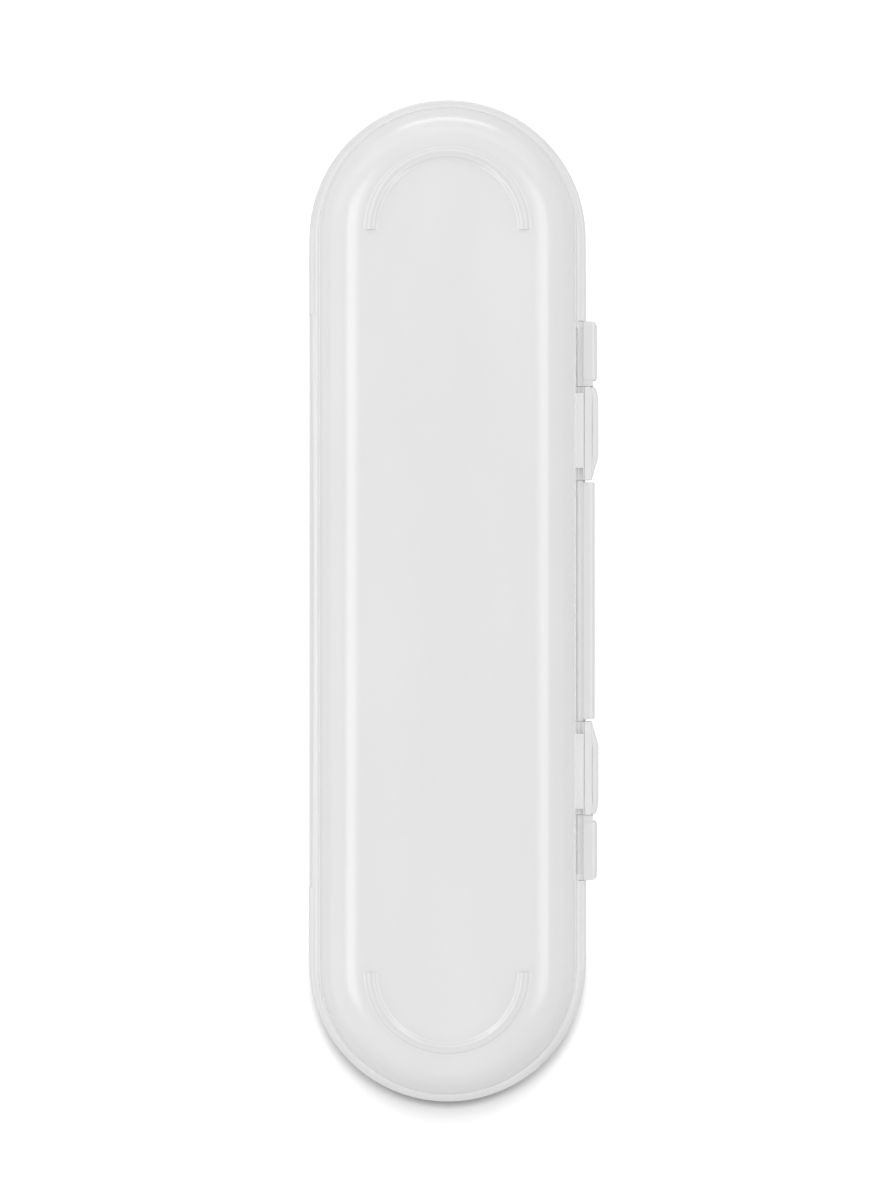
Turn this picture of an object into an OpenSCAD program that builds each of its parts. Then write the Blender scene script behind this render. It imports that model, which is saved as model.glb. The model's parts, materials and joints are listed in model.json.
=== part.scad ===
// Travel cutlery case: two capsule-shaped half shells that close along a mid-height seam.
// The lid swings on two tapered snap clips, which sit on stub pins moulded on the base.
// X runs across the case, with the hinge at +X. Y runs along it. Z is up from the flat underside.

/* [Case] */
// Length of the case over its two round ends
case_l = 210; // [160:1:260]
// Width of the case, without the hinge
case_w = 58; // [50:1:80]
// Height of the base, from its flat underside to the seam
base_h = 12.8; // [12.2:0.1:20]
// Thickness of the moulded walls
wall = 1.2; // [0.9:0.1:1.6]
// Radius of the round shoulder between the flat face and the side wall
shoulder_r = 9; // [6:0.5:9]
// Gap between the lid and the base at the seam
seam_gap = 0.2; // [0.1:0.05:0.4]

/* [Rim] */
// How far the rim stands out from the side wall
rim_out = 2.2; // [1.8:0.1:2.8]
// Thickness of each half's rim
rim_t = 1.5; // [1.2:0.1:2]
// Radius of the rim's outer edge
rim_edge_r = 0.8; // [0.4:0.1:1]
// Radius of the hollow corner between the rim and the side wall
rim_root_r = 0.7; // [0.2:0.1:0.8]

/* [Lip and snap] */
// Height of the base's inner lip above its seam face
lip_h = 2.4; // [2:0.1:2.6]
// Thickness of the lip
lip_t = 1.1; // [0.8:0.1:1.4]
// Clearance between the lip and the lid's wall
lip_clear = 0.15; // [0.1:0.05:0.25]
// Height of the thickened band of wall that carries the lip
band_h = 2.2; // [1.5:0.1:3]
// Length of the snap bead on the side that opens
bead_l = 120; // [60:5:120]
// How far the snap bead stands out from the lip
bead_out = 0.35; // [0.3:0.05:0.4]
// Length of the shallow finger recess in the edge of the lid's rim
recess_l = 120; // [60:5:130]
// Depth of the finger recess at its two ends
recess_end = 0.3; // [0.2:0.05:0.4]
// Depth of the finger recess at its middle
recess_mid = 0.65; // [0.5:0.05:0.9]

/* [Hinge] */
// How far the hinge axis lies outside the rim
axis_out = 0.6; // [0.5:0.05:1]
// Diameter of the stub pins
pin_d = 1.9; // [1.6:0.1:2.1]
// Radial running clearance between a pin and its clip
pin_clear = 0.07; // [0.04:0.01:0.1]
// Outer diameter of the clips
clip_d = 4.3; // [4:0.1:4.5]
// Length of each clip, from its mouth to the tip of its nose
clip_l = 19.5; // [17:0.5:24]
// Length of the tapered nose
nose_l = 5; // [3.5:0.5:6]
// Diameter of the nose at its tip
nose_d = 1.5; // [1.2:0.1:2]
// Solid plastic between the nose's tip and the end of the bore
nose_wall = 2.9; // [2.6:0.1:3.4]
// Length of the clip's rounded mouth
mouth_l = 3.8; // [2:0.1:4.2]
// Wall of the clip at its mouth
mouth_wall = 0.25; // [0.2:0.05:0.4]
// Height of the clip's flat top above the hinge axis
clip_top = 2.08; // [1.9:0.02:2.1]
// Share of the pin's diameter that the snap slot is wide
slot_share = 0.8; // [0.7:0.05:0.9]
// Width and height of the end knuckles
knuckle_d = 3.6; // [3:0.1:3.8]
// Radius of the long outer edges of the knuckles and of the rail
bar_edge_r = 1.1; // [0.6:0.1:1.2]
// Length of each end knuckle
knuckle_l = 12.2; // [8:0.1:16]
// Radius of an end knuckle's outer corner
knuckle_r = 1.2; // [0.5:0.1:1.4]
// Width and height of the centre rail between the clips
rail_d = 2.7; // [2.4:0.1:3]
// Length of the centre rail
rail_l = 49.7; // [30:0.1:52]
// Radius of the corners at the rail's ends and at the knuckles' inner ends
rail_r = 0.4; // [0.2:0.1:0.6]
// Gap between the rail and a clip's nose
nose_gap = 0.45; // [0.4:0.05:1]
// Length of the narrow neck between a clip and its end knuckle, which carries the pin
neck_l = 1.5; // [0.8:0.1:2.5]
// Length of the arm that carries each clip
arm_l = 15.7; // [12:0.1:16]
// Height of the step on the base's rim, beside the knuckles and the rail
ledge_h = 1.1; // [0.8:0.1:1.1]
// Height of the thin rib along that step, above the seam face
rib_h = 1.4; // [1.2:0.1:1.4]
// Clearance around the clips in the base's rim
notch_clear = 0.3; // [0.2:0.05:0.4]
// Clearance between the pieces of the hinge, end to end
end_clear = 0.12; // [0.1:0.01:0.2]
// Clearance between the swinging wall of the lid and the steps on the base's rim
swing_clear = 0.12; // [0.1:0.01:0.2]

/* [Foot ridges] */
// Height of the two ridges that the opened lid rests on
ridge_h = 0.4; // [0.3:0.1:0.8]
// Distance from each ridge out to the edge of the lid's flat face
ridge_inset = 0.7; // [0.1:0.1:3]
// Width of a ridge at its foot
ridge_foot = 2.9; // [2:0.1:3.4]
// Width of a ridge at its crest
ridge_crest = 0.5; // [0.4:0.1:1.4]

/* [Hidden] */
$fn = 96;

frost = [0.91, 0.91, 0.91];
half_w = case_w / 2;
straight_l = case_l - case_w;
side_x = half_w - rim_out;
lid_h = base_h - ridge_h;
lid_z = base_h + seam_gap;

// Lip: it fits inside the lid's wall, and stands on the band inside the base's wall
lip_outer = side_x - wall - lip_clear;
lip_inner = lip_outer - lip_t;
lip_lead = 0.4;
bead_r = 0.5;
bead_x = lip_outer + bead_out - bead_r;
bead_up = 1.1;
bead_z = lid_z + bead_up;
groove_r = bead_r + lip_clear;

// Hinge: everything is placed along one axis, outwards from the middle of the case
axis_x = half_w + axis_out;
axis_z = base_h + seam_gap / 2;
clip_r = clip_d / 2;
bore_r = pin_d / 2 + pin_clear;
slot_w = slot_share * pin_d;
nose_y = rail_l / 2 + nose_gap;
mouth_y = nose_y + clip_l;
knuckle_y = mouth_y + neck_l;
hinge_end_y = knuckle_y + knuckle_l;
bore_l = clip_l - nose_wall;
pin_l = bore_l;
pin_tip = 0.3;
// Share of the length beyond the arm that lies on the nose's side
nose_share = 0.66;
arm_y = nose_y + (clip_l - arm_l) * nose_share;
mouth_steps = 10;
// The clip's top plate: its inner and outer edge and its lower side, from the hinge axis
plate_in = -1.25;
plate_out = 0.4;
plate_low = 0.5;
barrel_in = -1.45;
// Two fine grooves along the clip's flat top, one at each edge of its plate
creases = [-1, 0.7];
crease_w = 0.24;
crease_deep = 0.3;
// The arm's thickness, from the seam up to the clip's flat top
arm_t = axis_z + clip_top - lid_z;
// Height of the block that carries each stub pin, above the hinge axis
neck_top = 1.6;
// The knuckles and the rail stand on the rim from here outwards
seat_x = half_w - 0.55;
rib_x = side_x + 0.5;
rib_w = 0.5;
rib_up = rib_h - ledge_h;
// The rib goes on along the arms, where it stands out less
arm_rib_up = 0.12;
// The web under each arm is flush with the steps on the base's rim
web_t = ledge_h - seam_gap;
// Length of the full-width block that closes each step at its outer end
ledge_end_l = 1.3;
// Thickness, at the seam, of what the notch leaves of the lid's rim where it is cut round
notch_keep = 0.06;
notch_x = side_x + notch_keep;

// Foot ridges: half rings round the centre of each round end
ridge_r = side_x - shoulder_r - ridge_inset - ridge_foot / 2;
ridge_steps = 6;

// The finger recess follows a long arc, whose middle lies far outside the case
recess_bow = recess_mid - recess_end;
recess_r = (pow(recess_l / 2, 2) + pow(recess_bow, 2)) / (2 * recess_bow);
recess_a = 2 * asin(recess_l / 2 / recess_r);
recess_facets = 16;

// Extra depth that carries a cut past the surface it starts from
past = 1;

// Sections, drawn across the case: x outwards from its middle, y up from the flat face

// One half of a pan with a flat bottom, a round shoulder of radius r and a straight side
module pan(side, h, r) {
    difference() {
        square([side, h]);
        difference() {
            translate([side - r, -past]) square([r + past, r + past]);
            translate([side - r, r]) circle(r);
            translate([side - r - past, r]) square([past, past]);
        }
    }
}

// The rim: a flat flange with a rounded edge below, and a hollow corner against the side wall
module rim(h) {
    edge_x = half_w - rim_edge_r;
    low = h - rim_t;
    difference() {
        translate([side_x, low - rim_root_r]) square([rim_out, rim_t + rim_root_r]);
        translate([side_x + rim_root_r, low - rim_root_r]) circle(rim_root_r);
        translate([side_x + rim_root_r, low - rim_root_r - past]) square([rim_out, rim_root_r + past]);
        difference() {
            translate([edge_x, low - past]) square([rim_edge_r + past, rim_edge_r + past]);
            translate([edge_x, low + rim_edge_r]) circle(rim_edge_r);
        }
    }
}

// A half shell without its hinge: pan, hollow and rim
module shell_section(h) {
    difference() {
        union() {
            pan(side_x, h, shoulder_r);
            rim(h);
        }
        translate([0, wall]) pan(side_x - wall, h, shoulder_r - wall);
    }
}

// The band inside the base's wall, with a sloped underside so that it leaves the mould
module band_section() {
    inner_wall = side_x - wall;
    slope = inner_wall - lip_inner;
    polygon([
        [inner_wall, base_h - band_h - slope],
        [inner_wall, base_h],
        [lip_inner, base_h],
        [lip_inner, base_h - band_h]
    ]);
}

module lip_section() {
    top = base_h + lip_h;
    polygon([
        [lip_inner, base_h],
        [lip_outer, base_h],
        [lip_outer, top - lip_lead],
        [lip_outer - lip_lead, top],
        [lip_inner, top]
    ]);
}

// Carries a section right round the capsule: along both sides and round both ends
module round_the_case() {
    rotate([90, 0, 0]) linear_extrude(height = straight_l, center = true) {
        children();
        mirror([1, 0]) children();
    }
    translate([0, straight_l / 2, 0]) rotate_extrude(angle = 180) children();
    translate([0, -straight_l / 2, 0]) rotate([0, 0, 180]) rotate_extrude(angle = 180) children();
}

// Base

// Turns a shape that stands on the Z axis so that it lies along the hinge, at a given y
module on_hinge(y) {
    translate([axis_x, y, axis_z]) rotate([-90, 0, 0]) children();
}

// Outline of the upper clip about the hinge axis: tip of the nose, barrel, rounded mouth.
// grow makes it larger all round, for the pocket that the clip turns in.
module clip_outline(grow) {
    mouth_r = bore_r + mouth_wall;
    polygon(concat(
        [[0, -grow], [nose_d / 2 + grow, -grow], [clip_r + grow, nose_l]],
        [
            for (i = [0 : mouth_steps])
                let (a = 90 * i / mouth_steps)
                [
                    mouth_r + grow + (clip_r - mouth_r) * cos(a),
                    clip_l - mouth_l + mouth_l * sin(a)
                ]
        ],
        [[mouth_r + grow, clip_l + grow], [0, clip_l + grow]]
    ));
}

module clip_pocket() {
    on_hinge(nose_y) rotate_extrude() clip_outline(notch_clear);
}

// Section of a step on the base's rim, hollowed for the lid that swings past it
module step_section(h) {
    intersection() {
        translate([side_x, 0]) square([seat_x - side_x, h]);
        translate([axis_x, axis_z - base_h]) circle(axis_x - notch_x - swing_clear);
    }
}

// A thin rib with a round top, which rises by up from a flat face at height 0
module rib_section(up) {
    translate([rib_x, -rib_w / 2]) square([rib_w, up]);
    translate([rib_x + rib_w / 2, up - rib_w / 2]) circle(rib_w / 2);
}

// The step and its rib fill the rim where the lid's rim is notched
module rim_step(y, l) {
    translate([0, y + l, base_h]) rotate([90, 0, 0]) linear_extrude(height = l) {
        step_section(ledge_h);
        translate([0, ledge_h]) rib_section(rib_up);
    }
}

// Beside a knuckle the step is closed at its outer end by a block of the rib's height
module knuckle_step() {
    step_y = mouth_y + end_clear;
    rim_step(step_y, hinge_end_y - step_y);
    translate([0, hinge_end_y, base_h]) rotate([90, 0, 0]) linear_extrude(height = ledge_end_l)
        step_section(rib_h);
}

module base_shell() {
    color(frost) difference() {
        round_the_case() {
            shell_section(base_h);
            band_section();
        }
        clip_pocket();
        mirror([0, 1, 0]) clip_pocket();
    }
    color(frost) {
        rim_step(end_clear - nose_y, 2 * (nose_y - end_clear));
        knuckle_step();
        mirror([0, 1, 0]) knuckle_step();
    }
}

module base_lip() {
    color(frost) round_the_case() lip_section();
}

// The bead is the part of a thin rod that stands out of the lip's outer face
module snap_bead() {
    color(frost) difference() {
        translate([-bead_x, bead_l / 2, bead_z]) rotate([90, 0, 0]) cylinder(r = bead_r, h = bead_l);
        translate([-lip_outer, -bead_l / 2 - past, bead_z - bead_r - past])
            cube([bead_r * 3, bead_l + 2 * past, 2 * (bead_r + past)]);
    }
}

// Cuts a piece of the hinge back to the rim that it is moulded on: it stands on the rim's top
// face from seat_x outwards, and against the rim's edge
module seated_on_rim(y, l) {
    cut = 3 * clip_d;
    difference() {
        children();
        translate([half_w - cut, y - past, base_h - clip_d]) cube([cut, l + 2 * past, clip_d]);
        translate([seat_x - cut, y - past, base_h - past]) cube([cut, l + 2 * past, clip_d + past]);
    }
}

// A rectangle from x = -r to r and y = 0 to l, with its two corners at +r rounded
module two_round_corners(r, l, low_r, high_r) {
    difference() {
        translate([-r, 0]) square([2 * r, l]);
        difference() {
            translate([r - low_r, -past]) square([low_r + past, low_r + past]);
            translate([r - low_r, low_r]) circle(low_r);
        }
        difference() {
            translate([r - high_r, l - high_r]) square([high_r + past, high_r + past]);
            translate([r - high_r, l - high_r]) circle(high_r);
        }
    }
}

// A bar along the hinge with a flat top, round outer edges and round outer corners at its ends
module bar(y, l, d, low_r, high_r) {
    r = d / 2;
    seated_on_rim(y, l) translate([axis_x, y, axis_z]) intersection() {
        translate([0, 0, -r]) linear_extrude(height = d) two_round_corners(r, l, low_r, high_r);
        translate([0, l, -r]) rotate([90, 0, 0]) linear_extrude(height = l)
            two_round_corners(r, d, bar_edge_r, bar_edge_r);
    }
}

// End knuckle, with the narrow block on its inner end that carries the stub pin
module knuckle() {
    neck_y = mouth_y + end_clear;
    pin_r = pin_d / 2;
    color(frost) {
        bar(knuckle_y, knuckle_l, knuckle_d, rail_r, knuckle_r);
        seated_on_rim(neck_y, knuckle_y - neck_y) translate([seat_x, neck_y, axis_z - pin_r])
            cube([axis_x + pin_r - seat_x, knuckle_y - neck_y, pin_r + neck_top]);
    }
}

module upper_knuckle() {
    knuckle();
}

module lower_knuckle() {
    mirror([0, 1, 0]) knuckle();
}

module center_rail() {
    color(frost) bar(-rail_l / 2, rail_l, rail_d, rail_r, rail_r);
}

// Stub pin: it stands on the knuckle's block and ends just short of the clip's blind bore
module hinge_pin() {
    pin_r = pin_d / 2;
    color(frost) on_hinge(mouth_y + end_clear - pin_l) rotate_extrude() polygon([
        [0, 0],
        [pin_r - pin_tip, 0],
        [pin_r, pin_tip],
        [pin_r, pin_l],
        [0, pin_l]
    ]);
}

module upper_hinge_pin() {
    hinge_pin();
}

module lower_hinge_pin() {
    mirror([0, 1, 0]) hinge_pin();
}

// Lid: the same sections, turned over above the seam

module turned_over() {
    translate([0, 0, lid_z + lid_h]) mirror([0, 0, 1]) children();
}

// Finger recess: the rim's edge, with its rounding, is drawn in along a long shallow arc.
// Across this section x runs inwards from the recess's deepest place, and y runs up.
module recess_section() {
    difference() {
        translate([-recess_mid - past, -past]) square([recess_mid + past + rim_edge_r, rim_t + 2 * past]);
        translate([rim_edge_r, rim_t - rim_edge_r]) circle(rim_edge_r);
        translate([0, -2 * past]) square([rim_edge_r + past, rim_t - rim_edge_r + 2 * past]);
    }
}

module finger_recess() {
    translate([recess_mid - half_w - recess_r, 0, lid_z]) rotate([0, 0, -recess_a / 2])
        rotate_extrude(angle = recess_a, $fn = recess_facets * 360 / recess_a)
            translate([recess_r, 0]) recess_section();
}

// Notch for the hinge in the lid's rim. It is cut round, about the hinge axis, beside the blocks
// and up to the height of the steps, and straight along the wall above the steps and at the clips.
module rim_notch() {
    notch_y = hinge_end_y + end_clear;
    wall_y = hinge_end_y - ledge_end_l;
    cut_h = rim_t + rim_root_r + past;
    on_hinge(-notch_y) cylinder(r = axis_x - notch_x, h = 2 * notch_y);
    translate([side_x, -wall_y, base_h + ledge_h]) cube([rim_out + past, 2 * wall_y, cut_h]);
    for (y = [nose_y, -mouth_y])
        translate([side_x, y, lid_z - past]) cube([rim_out + past, clip_l, cut_h]);
}

module lid_shell() {
    color(frost) difference() {
        turned_over() round_the_case() shell_section(lid_h);
        rim_notch();
        translate([-bead_x, bead_l / 2 + lip_clear, bead_z])
            rotate([90, 0, 0]) cylinder(r = groove_r, h = bead_l + 2 * lip_clear);
        finger_recess();
    }
}

// Snap clip, the most skilled feature: a tapered barrel on an arm that takes the rim's place.
// Its top is flat, and its inner side is cut off straight. Its blind bore runs on the stub pin,
// and the slot below lets it snap over the pin.
module hinge_clip() {
    color(frost) difference() {
        union() {
            difference() {
                on_hinge(nose_y) rotate_extrude() clip_outline(0);
                translate([axis_x + barrel_in - clip_d, nose_y - past, axis_z - clip_d])
                    cube([clip_d, clip_l + 2 * past, 2 * clip_d]);
            }
            translate([axis_x + plate_in, nose_y, axis_z + plate_low])
                cube([plate_out - plate_in, clip_l, clip_top - plate_low]);
            arm(nose_y, clip_l, web_t, rib_up);
            arm(arm_y, arm_l, arm_t, arm_rib_up);
        }
        translate([axis_x - clip_d, nose_y - past, axis_z + clip_top])
            cube([2 * clip_d, clip_l + 2 * past, clip_d]);
        for (x = creases)
            translate([axis_x + x - crease_w / 2, nose_y - past, axis_z + clip_top - crease_deep])
                cube([crease_w, clip_l + 2 * past, crease_deep + past]);
        on_hinge(nose_y + nose_wall) cylinder(r = bore_r, h = bore_l + past);
        translate([axis_x - slot_w / 2, nose_y + nose_wall, axis_z - clip_r - past])
            cube([slot_w, bore_l + past, clip_r + past]);
    }
}

// An arm of thickness t from the lid's wall to the hinge, with a hollow corner and a rib on top.
// Each clip has a thin one along its whole length and a thick one, flush with its flat top.
module arm(y, l, t, up) {
    translate([0, y + l, lid_z]) rotate([90, 0, 0]) linear_extrude(height = l) {
        difference() {
            translate([side_x, 0]) square([axis_x - side_x, t + rim_root_r]);
            translate([side_x + rim_root_r, t + rim_root_r]) circle(rim_root_r);
            translate([side_x + rim_root_r, t]) square([clip_d, rim_root_r + past]);
        }
        translate([0, t]) rib_section(up);
    }
}

module upper_hinge_clip() {
    hinge_clip();
}

module lower_hinge_clip() {
    mirror([0, 1, 0]) hinge_clip();
}

// Foot ridge: half a ring round the centre of one end, with softly curved sides
module foot_ridge() {
    flank = (ridge_foot - ridge_crest) / 2;
    color(frost) translate([0, straight_l / 2, lid_z + lid_h]) rotate_extrude(angle = 180) polygon([
        for (side = [1, -1], i = [0 : ridge_steps])
            let (
                step = side > 0 ? i : ridge_steps - i,
                rise = (1 - cos(180 * step / ridge_steps)) / 2
            )
            [
                ridge_r + side * (ridge_foot / 2 - flank * step / ridge_steps),
                ridge_h * rise
            ]
    ]);
}

module upper_foot_ridge() {
    foot_ridge();
}

module lower_foot_ridge() {
    mirror([0, 1, 0]) foot_ridge();
}

base_shell();
base_lip();
snap_bead();
upper_knuckle();
lower_knuckle();
center_rail();
upper_hinge_pin();
lower_hinge_pin();
lid_shell();
upper_hinge_clip();
lower_hinge_clip();
upper_foot_ridge();
lower_foot_ridge();
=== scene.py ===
import json
import math

import bpy
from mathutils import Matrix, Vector

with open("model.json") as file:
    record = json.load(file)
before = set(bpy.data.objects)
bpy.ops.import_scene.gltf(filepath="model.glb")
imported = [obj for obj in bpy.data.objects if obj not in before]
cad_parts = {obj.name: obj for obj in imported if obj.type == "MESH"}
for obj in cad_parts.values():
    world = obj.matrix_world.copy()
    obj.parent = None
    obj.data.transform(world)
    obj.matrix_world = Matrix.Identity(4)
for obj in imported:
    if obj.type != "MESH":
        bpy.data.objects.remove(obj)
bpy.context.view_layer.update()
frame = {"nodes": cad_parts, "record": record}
scene = bpy.context.scene
scene.view_settings.view_transform = "Standard"

# Height of the seam between base and lid
SEAM_Z = 0.0129
# Middle of each round end, from the middle of the case
END_Y = 0.076
WHITE = (1.0, 1.0, 1.0, 1.0)


# Camera: straight above the closed case, with up along the case

CAMERA_ABOVE_SEAM = 0.48
# How far the camera stands off the middle of the case
CAMERA_X, CAMERA_Y = 0.0001, 0.00016
# Long side of the picture, at the height of the seam
FRAME_LONG_SIDE = 0.2521
SENSOR = 36.0

camera_data = bpy.data.cameras.new("camera")
camera_data.sensor_width = SENSOR
camera_data.lens = SENSOR * CAMERA_ABOVE_SEAM / FRAME_LONG_SIDE
camera_data.clip_start = 0.01
camera_data.clip_end = 20.0
camera = bpy.data.objects.new("camera", camera_data)
scene.collection.objects.link(camera)
camera.location = (CAMERA_X, CAMERA_Y, SEAM_Z + CAMERA_ABOVE_SEAM)
scene.camera = camera


# Materials

# Distances from the capsule's middle line, in mm, with a painted tone there: painted light and dark
# lines that stand in for how the lip, the band and the rim's root behind the thin wall show through it,
# and for the light on the rim's rounded edge
LID_PAINTED_LIGHT_LINES = (
    (22.6, 0.97), (24.3, 0.96), (25.7, 0.97), (26.15, 0.95), (26.6, 0.98),
    (27.05, 0.92), (27.6, 0.955), (28.25, 0.9), (28.8, 0.925),
)
# The ridges' four fine lines, at the foot and the top of each side, are painted highlights, with painted
# shade between them
RIDGE_PAINTED_HIGHLIGHT_LINES = (
    (14.2, 0.95), (14.5, 1.0), (14.8, 0.93), (15.12, 1.0), (15.45, 0.93),
    (15.85, 0.93), (16.2, 1.0), (16.6, 0.93), (17.0, 1.0), (17.3, 0.95),
)
# The distances between which the painted light and shade lines lie, in metres
NEAREST, FARTHEST = 0.013, 0.03

# How much more blue than red and green the plastic's white has
BLUE_TINT = 0.003
# The cloudy flow is drawn out along the case
FLOW_SCALE = (60.0, 18.0, 60.0)
GRAIN_SCALE = 2600.0
GRAIN_DEPTH = 0.00006
ROUGHNESS_SPREAD = 0.03
POLYPROPYLENE_IOR = 1.49
# Share of the light that goes through the plastic
LET_THROUGH = 0.1

# The grey levels between which the flow moves, the roughness and the strength of the grain. All pieces
# are one plastic: the clips and the ridges are painted lighter than the rest, to lift the shade on them
PLASTICS = {
    "frosted_base": {"low": 0.8, "high": 0.83, "roughness": 0.16, "grain": 0.12},
    "frosted_lid": {"low": 0.83, "high": 0.855, "roughness": 0.16, "grain": 0.12, "painted_light_lines": LID_PAINTED_LIGHT_LINES},
    "frosted_hinge": {"low": 0.8, "high": 0.83, "roughness": 0.14, "grain": 0.1},
    "frosted_clip": {"low": 0.845, "high": 0.875, "roughness": 0.14, "grain": 0.1},
    "frosted_ridge_painted_light": {"low": 0.87, "high": 0.89, "roughness": 0.12, "grain": 0.05, "painted_light_lines": RIDGE_PAINTED_HIGHLIGHT_LINES},
}


def node(tree, kind, **inputs):
    """A new node with these inputs, in which an underscore stands for a space."""
    made = tree.nodes.new(kind)
    for name, value in inputs.items():
        made.inputs[name.replace("_", " ")].default_value = value
    return made


def calculate(tree, operation, value, second):
    """A math operation on a socket and a number."""
    step = tree.nodes.new("ShaderNodeMath")
    step.operation = operation
    tree.links.new(value, step.inputs[0])
    step.inputs[1].default_value = second
    return step.outputs["Value"]


def combine(tree, operation, first, second):
    """A math operation on two sockets."""
    step = tree.nodes.new("ShaderNodeMath")
    step.operation = operation
    tree.links.new(first, step.inputs[0])
    tree.links.new(second, step.inputs[1])
    return step.outputs["Value"]


def length(tree, vector):
    """The length of a vector socket."""
    step = tree.nodes.new("ShaderNodeVectorMath")
    step.operation = "LENGTH"
    tree.links.new(vector, step.inputs[0])
    return step.outputs["Value"]


def mix_shaders(tree, share, first, second):
    """The first shader, with this share of the second."""
    mix = tree.nodes.new("ShaderNodeMixShader")
    tree.links.new(share, mix.inputs["Fac"])
    tree.links.new(first, mix.inputs[1])
    tree.links.new(second, mix.inputs[2])
    return mix.outputs["Shader"]


def capsule_distance(tree, where):
    """The distance from the capsule's middle line, in metres."""
    apart = tree.nodes.new("ShaderNodeSeparateXYZ")
    tree.links.new(where.outputs["Object"], apart.inputs["Vector"])
    along = calculate(tree, "ABSOLUTE", apart.outputs["Y"], 0.0)
    past_straight = calculate(tree, "MAXIMUM", calculate(tree, "SUBTRACT", along, END_Y), 0.0)
    across = tree.nodes.new("ShaderNodeCombineXYZ")
    tree.links.new(apart.outputs["X"], across.inputs["X"])
    tree.links.new(past_straight, across.inputs["Y"])
    return length(tree, across.outputs["Vector"])


def painted_light_ramp(tree, where, painted_light_lines):
    """The painted light and shade at each distance from the capsule's middle line, as a grey colour."""
    share = node(tree, "ShaderNodeMapRange", From_Min=NEAREST, From_Max=FARTHEST)
    tree.links.new(capsule_distance(tree, where), share.inputs["Value"])
    ramp = tree.nodes.new("ShaderNodeValToRGB")
    ramp.color_ramp.interpolation = "EASE"
    stops = ramp.color_ramp.elements
    while len(stops) < len(painted_light_lines):
        stops.new(0.5)
    for stop, (millimetres, tone) in zip(stops, painted_light_lines):
        stop.position = (millimetres / 1000 - NEAREST) / (FARTHEST - NEAREST)
        stop.color = (tone, tone, tone, 1.0)
    tree.links.new(share.outputs["Result"], ramp.inputs["Fac"])
    return ramp.outputs["Color"]


def cloudy_white(tree, where, low, high):
    """A white that moves between two grey levels in a faint cloudy flow."""
    stretched = tree.nodes.new("ShaderNodeMapping")
    stretched.inputs["Scale"].default_value = FLOW_SCALE
    tree.links.new(where.outputs["Object"], stretched.inputs["Vector"])
    flow = node(tree, "ShaderNodeTexNoise", Scale=1.0, Detail=3.0, Roughness=0.5)
    tree.links.new(stretched.outputs["Vector"], flow.inputs["Vector"])
    cloud = tree.nodes.new("ShaderNodeValToRGB")
    for stop, position, grey in zip(cloud.color_ramp.elements, (0.3, 0.7), (low, high)):
        stop.position = position
        stop.color = (grey, grey, grey + BLUE_TINT, 1.0)
    tree.links.new(flow.outputs["Fac"], cloud.inputs["Fac"])
    return cloud.outputs["Color"]


def frosted_plastic(name, low, high, roughness, grain, painted_light_lines=None):
    """Polypropylene with a fine frosted grain and a faint cloudy flow in its colour; where lines are
    listed, painted highlight and shade lines multiply that colour.
    """
    material = bpy.data.materials.new(name)
    material.use_nodes = True
    tree = material.node_tree
    shader = tree.nodes["Principled BSDF"]
    where = tree.nodes.new("ShaderNodeTexCoord")

    color = cloudy_white(tree, where, low, high)
    # Painted highlights and painted shade, as lines along the capsule's outline, multiply the plastic's
    # colour
    if painted_light_lines:
        painted_light_mix = tree.nodes.new("ShaderNodeMix")
        painted_light_mix.data_type = "RGBA"
        painted_light_mix.blend_type = "MULTIPLY"
        painted_light_mix.inputs["Factor"].default_value = 1.0
        tree.links.new(color, painted_light_mix.inputs["A"])
        tree.links.new(painted_light_ramp(tree, where, painted_light_lines), painted_light_mix.inputs["B"])
        color = painted_light_mix.outputs["Result"]
    tree.links.new(color, shader.inputs["Base Color"])

    frost = node(tree, "ShaderNodeTexNoise", Scale=GRAIN_SCALE, Detail=4.0, Roughness=0.6)
    tree.links.new(where.outputs["Object"], frost.inputs["Vector"])
    smoothest, roughest = roughness - ROUGHNESS_SPREAD, roughness + ROUGHNESS_SPREAD
    rough = node(tree, "ShaderNodeMapRange", To_Min=smoothest, To_Max=roughest)
    tree.links.new(frost.outputs["Fac"], rough.inputs["Value"])
    tree.links.new(rough.outputs["Result"], shader.inputs["Roughness"])
    bump = node(tree, "ShaderNodeBump", Strength=grain, Distance=GRAIN_DEPTH)
    tree.links.new(frost.outputs["Fac"], bump.inputs["Height"])
    tree.links.new(bump.outputs["Normal"], shader.inputs["Normal"])

    shader.inputs["IOR"].default_value = POLYPROPYLENE_IOR
    shader.inputs["Transmission Weight"].default_value = LET_THROUGH
    return material


materials = {name: frosted_plastic(name, **look) for name, look in PLASTICS.items()}
slot_of = {row["node"]: row["material_slot"] for row in frame["record"]["subparts"]}
for name, piece in frame["nodes"].items():
    # The ridges get their own copy of the plastic, painted lighter and with painted highlight lines
    slot = "frosted_ridge_painted_light" if name.endswith("foot_ridge") else slot_of[name]
    piece.data.materials.clear()
    piece.data.materials.append(materials[slot])


# Floor

FLOOR_HALF = 6.0
# The floor lies this far below the case, so that their faces don't meet
FLOOR_DROP = 0.00002
# Beyond the reach of the floor's lamps, between these distances, the camera comes to see plain white
WHITE_FROM, WHITE_FULL = 0.2, 0.4


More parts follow.
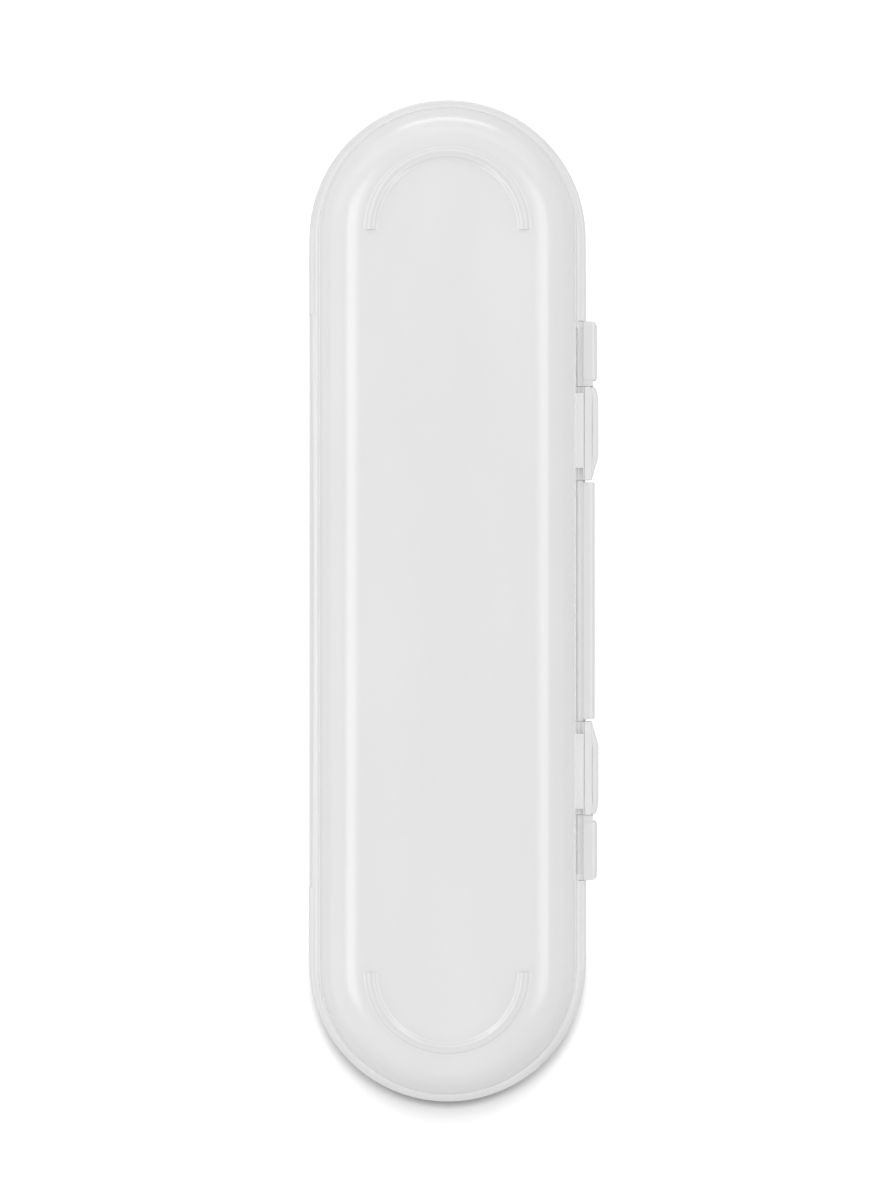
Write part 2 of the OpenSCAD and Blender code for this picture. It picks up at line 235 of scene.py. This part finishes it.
def floor_material():
    material = bpy.data.materials.new("floor_white")
    material.use_nodes = True
    tree = material.node_tree
    shader = tree.nodes["Principled BSDF"]
    where = tree.nodes.new("ShaderNodeTexCoord")
    speckle = node(tree, "ShaderNodeTexNoise", Scale=40.0, Detail=2.0)
    tree.links.new(where.outputs["Object"], speckle.inputs["Vector"])
    tone = node(tree, "ShaderNodeMapRange", To_Min=0.74, To_Max=0.76)
    tree.links.new(speckle.outputs["Fac"], tone.inputs["Value"])
    tree.links.new(tone.outputs["Result"], shader.inputs["Base Color"])
    shader.inputs["Roughness"].default_value = 0.9
    shader.inputs["Specular IOR Level"].default_value = 0.1

    far = node(tree, "ShaderNodeMapRange", From_Min=WHITE_FROM, From_Max=WHITE_FULL)
    far.interpolation_type = "SMOOTHSTEP"
    tree.links.new(length(tree, where.outputs["Object"]), far.inputs["Value"])
    path = tree.nodes.new("ShaderNodeLightPath")
    share = combine(tree, "MULTIPLY", far.outputs["Result"], path.outputs["Is Camera Ray"])
    plain = node(tree, "ShaderNodeEmission", Color=WHITE, Strength=1.0)
    surface = mix_shaders(tree, share, shader.outputs["BSDF"], plain.outputs["Emission"])
    tree.links.new(surface, tree.nodes["Material Output"].inputs["Surface"])
    return material


def square(name, half):
    """A square face that lies flat, with its middle at the origin."""
    corners = [(-half, -half, 0), (half, -half, 0), (half, half, 0), (-half, half, 0)]
    mesh = bpy.data.meshes.new(name)
    mesh.from_pydata(corners, [], [(0, 1, 2, 3)])
    made = bpy.data.objects.new(name, mesh)
    scene.collection.objects.link(made)
    return made


floor = square("floor", FLOOR_HALF)
floor.location.z = -FLOOR_DROP
floor.data.materials.append(floor_material())
floor.visible_glossy = False


# Lamps

def collection(name, pieces):
    made = bpy.data.collections.new(name)
    for piece in pieces:
        made.objects.link(piece)
    return made


def soft_box(name, place, size, radiance, only, sheen=False, blockers=None):
    """A rectangular soft box that faces the middle of the case and lights one collection.
    A sheen box shows in glossy surfaces alone. blockers are the only pieces that shade it."""
    data = bpy.data.lights.new(name, "AREA")
    data.shape = "RECTANGLE"
    data.size, data.size_y = size
    data.energy = radiance * math.pi * size[0] * size[1]
    lamp = bpy.data.objects.new(name, data)
    scene.collection.objects.link(lamp)
    lamp.location = place
    lamp.rotation_mode = "QUATERNION"
    lamp.rotation_quaternion = (Vector((0, 0, SEAM_Z)) - Vector(place)).to_track_quat("-Z", "Y")
    lamp.light_linking.receiver_collection = only
    if blockers:
        lamp.light_linking.blocker_collection = blockers
    lamp.visible_camera = False
    lamp.visible_diffuse = not sheen
    lamp.visible_transmission = not sheen
    return lamp


# The case and the floor have lamps of their own, as flags in a studio keep them apart
case_only = collection("case_only", frame["nodes"].values())
floor_only = collection("floor_only", [floor])
shells = collection("shells", [frame["nodes"]["base_shell"], frame["nodes"]["lid_shell"]])

soft_box("left_box", (-0.36, 0.02, 0.68), (0.7, 0.32), 2.8, case_only, sheen=True)
soft_box("right_box", (0.36, 0.02, 0.68), (0.7, 0.32), 2.4, case_only, sheen=True)
soft_box("head_box", (0.0, 1.0, 0.14), (0.7, 0.2), 2.3, case_only, sheen=True)
soft_box("top_box", (0.0, 0.0, 0.6), (2.0, 2.0), 0.14, case_only)
soft_box("left_wall", (-1.0, 0.0, 0.3), (2.0, 0.6), 0.76, case_only)
soft_box("right_wall", (1.0, 0.0, 0.3), (2.0, 0.6), 0.46, case_only)
soft_box("far_wall", (0.0, 1.0, 0.45), (2.0, 0.9), 0.64, case_only)
soft_box("near_wall", (0.0, -1.0, 0.45), (2.0, 0.9), 0.3, case_only)
# The part of the light that comes through the thin plastic: no piece of the case shades it
soft_box("through_box", (0.0, 0.0, 0.6), (2.0, 2.0), 0.44, case_only, blockers=floor_only)
# These two take the floor past white, and leave the case's shadow below its lower end
soft_box("floor_near", (0.0, 0.18, 1.0), (0.3, 0.1), 72.0, floor_only, blockers=shells)
soft_box("floor_far", (0.0, 0.42, 1.0), (0.3, 0.4), 24.0, floor_only, blockers=shells)


# World: a dim fill, a brighter one in what is mirrored, and white where it is seen

FILL, MIRRORED, SEEN = 0.34, 0.45, 1.0


def studio_world():
    world = bpy.data.worlds.new("studio")
    world.use_nodes = True
    tree = world.node_tree
    tree.nodes.clear()
    fill, mirrored, seen = (
        node(tree, "ShaderNodeBackground", Color=WHITE, Strength=strength).outputs["Background"]
        for strength in (FILL, MIRRORED, SEEN)
    )
    ray = tree.nodes.new("ShaderNodeLightPath").outputs
    around = mix_shaders(tree, ray["Is Glossy Ray"], fill, mirrored)
    in_view = combine(tree, "MAXIMUM", ray["Is Camera Ray"], ray["Is Transmission Ray"])
    output = tree.nodes.new("ShaderNodeOutputWorld")
    tree.links.new(mix_shaders(tree, in_view, around, seen), output.inputs["Surface"])
    return world


scene.world = studio_world()
